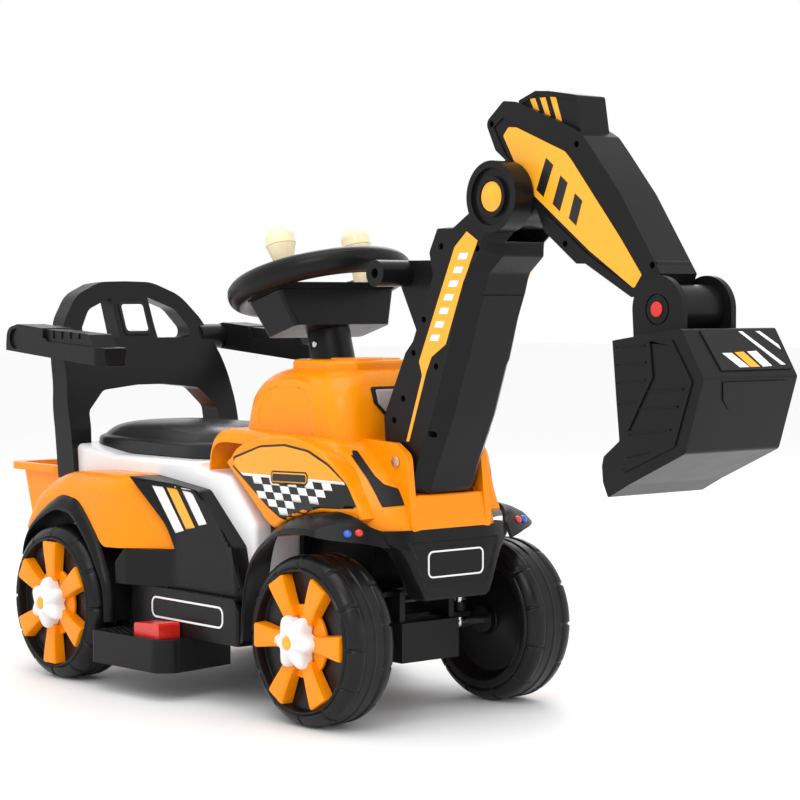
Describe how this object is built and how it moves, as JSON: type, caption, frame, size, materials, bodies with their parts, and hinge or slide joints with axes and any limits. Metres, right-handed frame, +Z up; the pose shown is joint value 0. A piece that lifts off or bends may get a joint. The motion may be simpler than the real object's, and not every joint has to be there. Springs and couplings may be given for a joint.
{
  "type": "ride-on toy digger",
  "caption": "Child's ride-on toy digger: orange, white and black body, black jointed boom, stick and bucket, steering wheel with knobs, backrest with armrests, rear tub.",
  "frame": {"origin": "on the ground, under the middle of the toy's bounding box", "axes": "+X forward towards the bucket, +Y to the rider's left, +Z up"},
  "size_m": [1.1531, 0.4144, 0.6729],
  "materials": {
    "orange_plastic": "glossy",
    "white_plastic": "glossy",
    "black_plastic": "satin",
    "tyre_plastic": "satin",
    "cream_plastic": "glossy",
    "red_plastic": "glossy",
    "amber_plastic": "glossy",
    "blue_lens": "glossy",
    "red_lens": "glossy",
    "steel": "satin",
    "motor_steel": "satin",
    "gear_nylon": "satin",
    "battery_case": "satin"
  },
  "bodies": {
    "chassis": {"underframe": "black_plastic", "body_shell": "white_plastic", "rear_fender_right": "orange_plastic", "rear_fender_left": "orange_plastic", "rear_arches": "black_plastic", "side_panels": "black_plastic", "steps": "black_plastic", "front_fender": "black_plastic", "lamp_lenses_red": "red_lens", "lamp_lenses_blue": "blue_lens", "hood": "orange_plastic", "cowl": "orange_plastic", "seat": "black_plastic", "backrest": "black_plastic", "rear_tub": "orange_plastic", "battery": "battery_case", "gearbox_housing": "black_plastic", "drive_motor": "motor_steel", "rear_axle": "steel", "front_beam": "black_plastic", "boom_pivot_pin": "steel", "foot_switch": "black_plastic", "pedal_spring": "steel"},
    "steering": {"steering_wheel": "black_plastic", "steering_console": "black_plastic", "steering_column": "black_plastic", "steering_shaft": "steel", "column_screw": "steel"},
    "right_knob": {"knob_right": "cream_plastic"},
    "left_knob": {"knob_left": "cream_plastic"},
    "right_knuckle": {"front_spindle_right": "steel"},
    "left_knuckle": {"front_spindle_left": "steel"},
    "linkage": {"tie_rod": "black_plastic"},
    "front_right_wheel": {"front_right_tyre": "tyre_plastic", "front_right_spokes": "orange_plastic", "front_right_hub_star": "white_plastic"},
    "front_left_wheel": {"front_left_tyre": "tyre_plastic", "front_left_spokes": "orange_plastic", "front_left_hub_star": "white_plastic"},
    "rear_right_wheel": {"rear_right_tyre": "tyre_plastic", "rear_right_spokes": "orange_plastic", "rear_right_hub_star": "white_plastic", "output_gear": "gear_nylon"},
    "rear_left_wheel": {"rear_left_tyre": "tyre_plastic", "rear_left_spokes": "orange_plastic", "rear_left_hub_star": "white_plastic"},
    "idler": {"idler_gear": "gear_nylon"},
    "pinion": {"motor_pinion": "gear_nylon"},
    "boom": {"boom_shell_right": "black_plastic", "boom_shell_left": "black_plastic", "boom_handle": "black_plastic", "elbow_pins": "amber_plastic"},
    "stick": {"stick_shell_right": "black_plastic", "stick_shell_left": "black_plastic", "bucket_pins": "red_plastic"},
    "bucket": {"bucket": "black_plastic"},
    "pedal": {"accelerator_pedal": "red_plastic"},
    "right_armrest": {"armrest_right": "black_plastic"},
    "left_armrest": {"armrest_left": "black_plastic"},
    "rocker": {"direction_rocker": "black_plastic"}
  },
  "joints": [
    {"name": "boom_swing", "type": "hinge", "parent": "chassis", "child": "boom", "pos_m": [0.1252, 0, 0.283], "axis": [0, 1, 0], "range_deg": [-10, 35]},
    {"name": "stick_fold", "type": "hinge", "parent": "boom", "child": "stick", "pos_m": [0.269, 0, 0.5648], "axis": [0, 1, 0], "range_deg": [-45, 35]},
    {"name": "bucket_curl", "type": "hinge", "parent": "stick", "child": "bucket", "pos_m": [0.4903, 0, 0.4492], "axis": [0, 1, 0], "range_deg": [-60, 40]},
    {"name": "steering_turn", "type": "hinge", "parent": "chassis", "child": "steering", "pos_m": [-0.0608, 0, 0.409], "axis": [-0.284, 0, 0.9588], "range_deg": [-30, 30]},
    {"name": "right_knob_spin", "type": "hinge", "parent": "steering", "child": "right_knob", "pos_m": [-0.04929, -0.056, 0.41241], "axis": [-0.284, 0, 0.9588], "continuous": true},
    {"name": "left_knob_spin", "type": "hinge", "parent": "steering", "child": "left_knob", "pos_m": [-0.04929, 0.056, 0.41241], "axis": [-0.284, 0, 0.9588], "continuous": true},
    {"name": "right_knuckle_turn", "type": "hinge", "parent": "chassis", "child": "right_knuckle", "pos_m": [0.0857, -0.068, 0.11], "axis": [0, 0, 1], "range_deg": [-15, 15]},
    {"name": "left_knuckle_turn", "type": "hinge", "parent": "chassis", "child": "left_knuckle", "pos_m": [0.0857, 0.068, 0.11], "axis": [0, 0, 1], "range_deg": [-15, 15]},
    {"name": "tie_rod_slide", "type": "slide", "parent": "chassis", "child": "linkage", "axis": [0, 1, 0], "range_m": [-0.0082, 0.0082]},
    {"name": "front_right_spin", "type": "hinge", "parent": "right_knuckle", "child": "front_right_wheel", "pos_m": [0.0857, -0.1307, 0.0925], "axis": [0, 1, 0], "continuous": true},
    {"name": "front_left_spin", "type": "hinge", "parent": "left_knuckle", "child": "front_left_wheel", "pos_m": [0.0857, 0.1307, 0.0925], "axis": [0, 1, 0], "continuous": true},
    {"name": "rear_right_spin", "type": "hinge", "parent": "chassis", "child": "rear_right_wheel", "pos_m": [-0.3648, -0.1577, 0.0925], "axis": [0, 1, 0], "continuous": true},
    {"name": "rear_left_spin", "type": "hinge", "parent": "chassis", "child": "rear_left_wheel", "pos_m": [-0.3648, 0.1577, 0.0925], "axis": [0, 1, 0], "continuous": true},
    {"name": "idler_spin", "type": "hinge", "parent": "chassis", "child": "idler", "pos_m": [-0.3348, -0.1, 0.0925], "axis": [0, 1, 0], "continuous": true},
    {"name": "pinion_spin", "type": "hinge", "parent": "chassis", "child": "pinion", "pos_m": [-0.3108, -0.098, 0.0925], "axis": [0, 1, 0], "continuous": true},
    {"name": "pedal_press", "type": "hinge", "parent": "chassis", "child": "pedal", "pos_m": [-0.1948, -0.16675, 0.065], "axis": [0, 1, 0], "range_deg": [0, 8], "stiffness_Nm_per_rad": 0.8, "springref_deg": -5.73, "deforming": ["pedal_spring"]},
    {"name": "right_armrest_lift", "type": "hinge", "parent": "chassis", "child": "right_armrest", "pos_m": [-0.4678, -0.157, 0.41], "axis": [0, -1, 0], "range_deg": [0, 95]},
    {"name": "left_armrest_lift", "type": "hinge", "parent": "chassis", "child": "left_armrest", "pos_m": [-0.4678, 0.157, 0.41], "axis": [0, -1, 0], "range_deg": [0, 95]},
    {"name": "rocker_tilt", "type": "hinge", "parent": "chassis", "child": "rocker", "pos_m": [-0.1078, 0, 0.331], "axis": [0, 1, 0], "range_deg": [-8, 8]}
  ],
  "couplings": [
    {"joint": "right_knuckle_turn", "follows": "steering_turn", "ratio": 0.5},
    {"joint": "left_knuckle_turn", "follows": "steering_turn", "ratio": 0.5},
    {"joint": "tie_rod_slide", "follows": "steering_turn", "m_per_rad": -0.01475},
    {"joint": "idler_spin", "follows": "rear_right_spin", "ratio": -4},
    {"joint": "pinion_spin", "follows": "rear_right_spin", "ratio": 12}
  ]
}
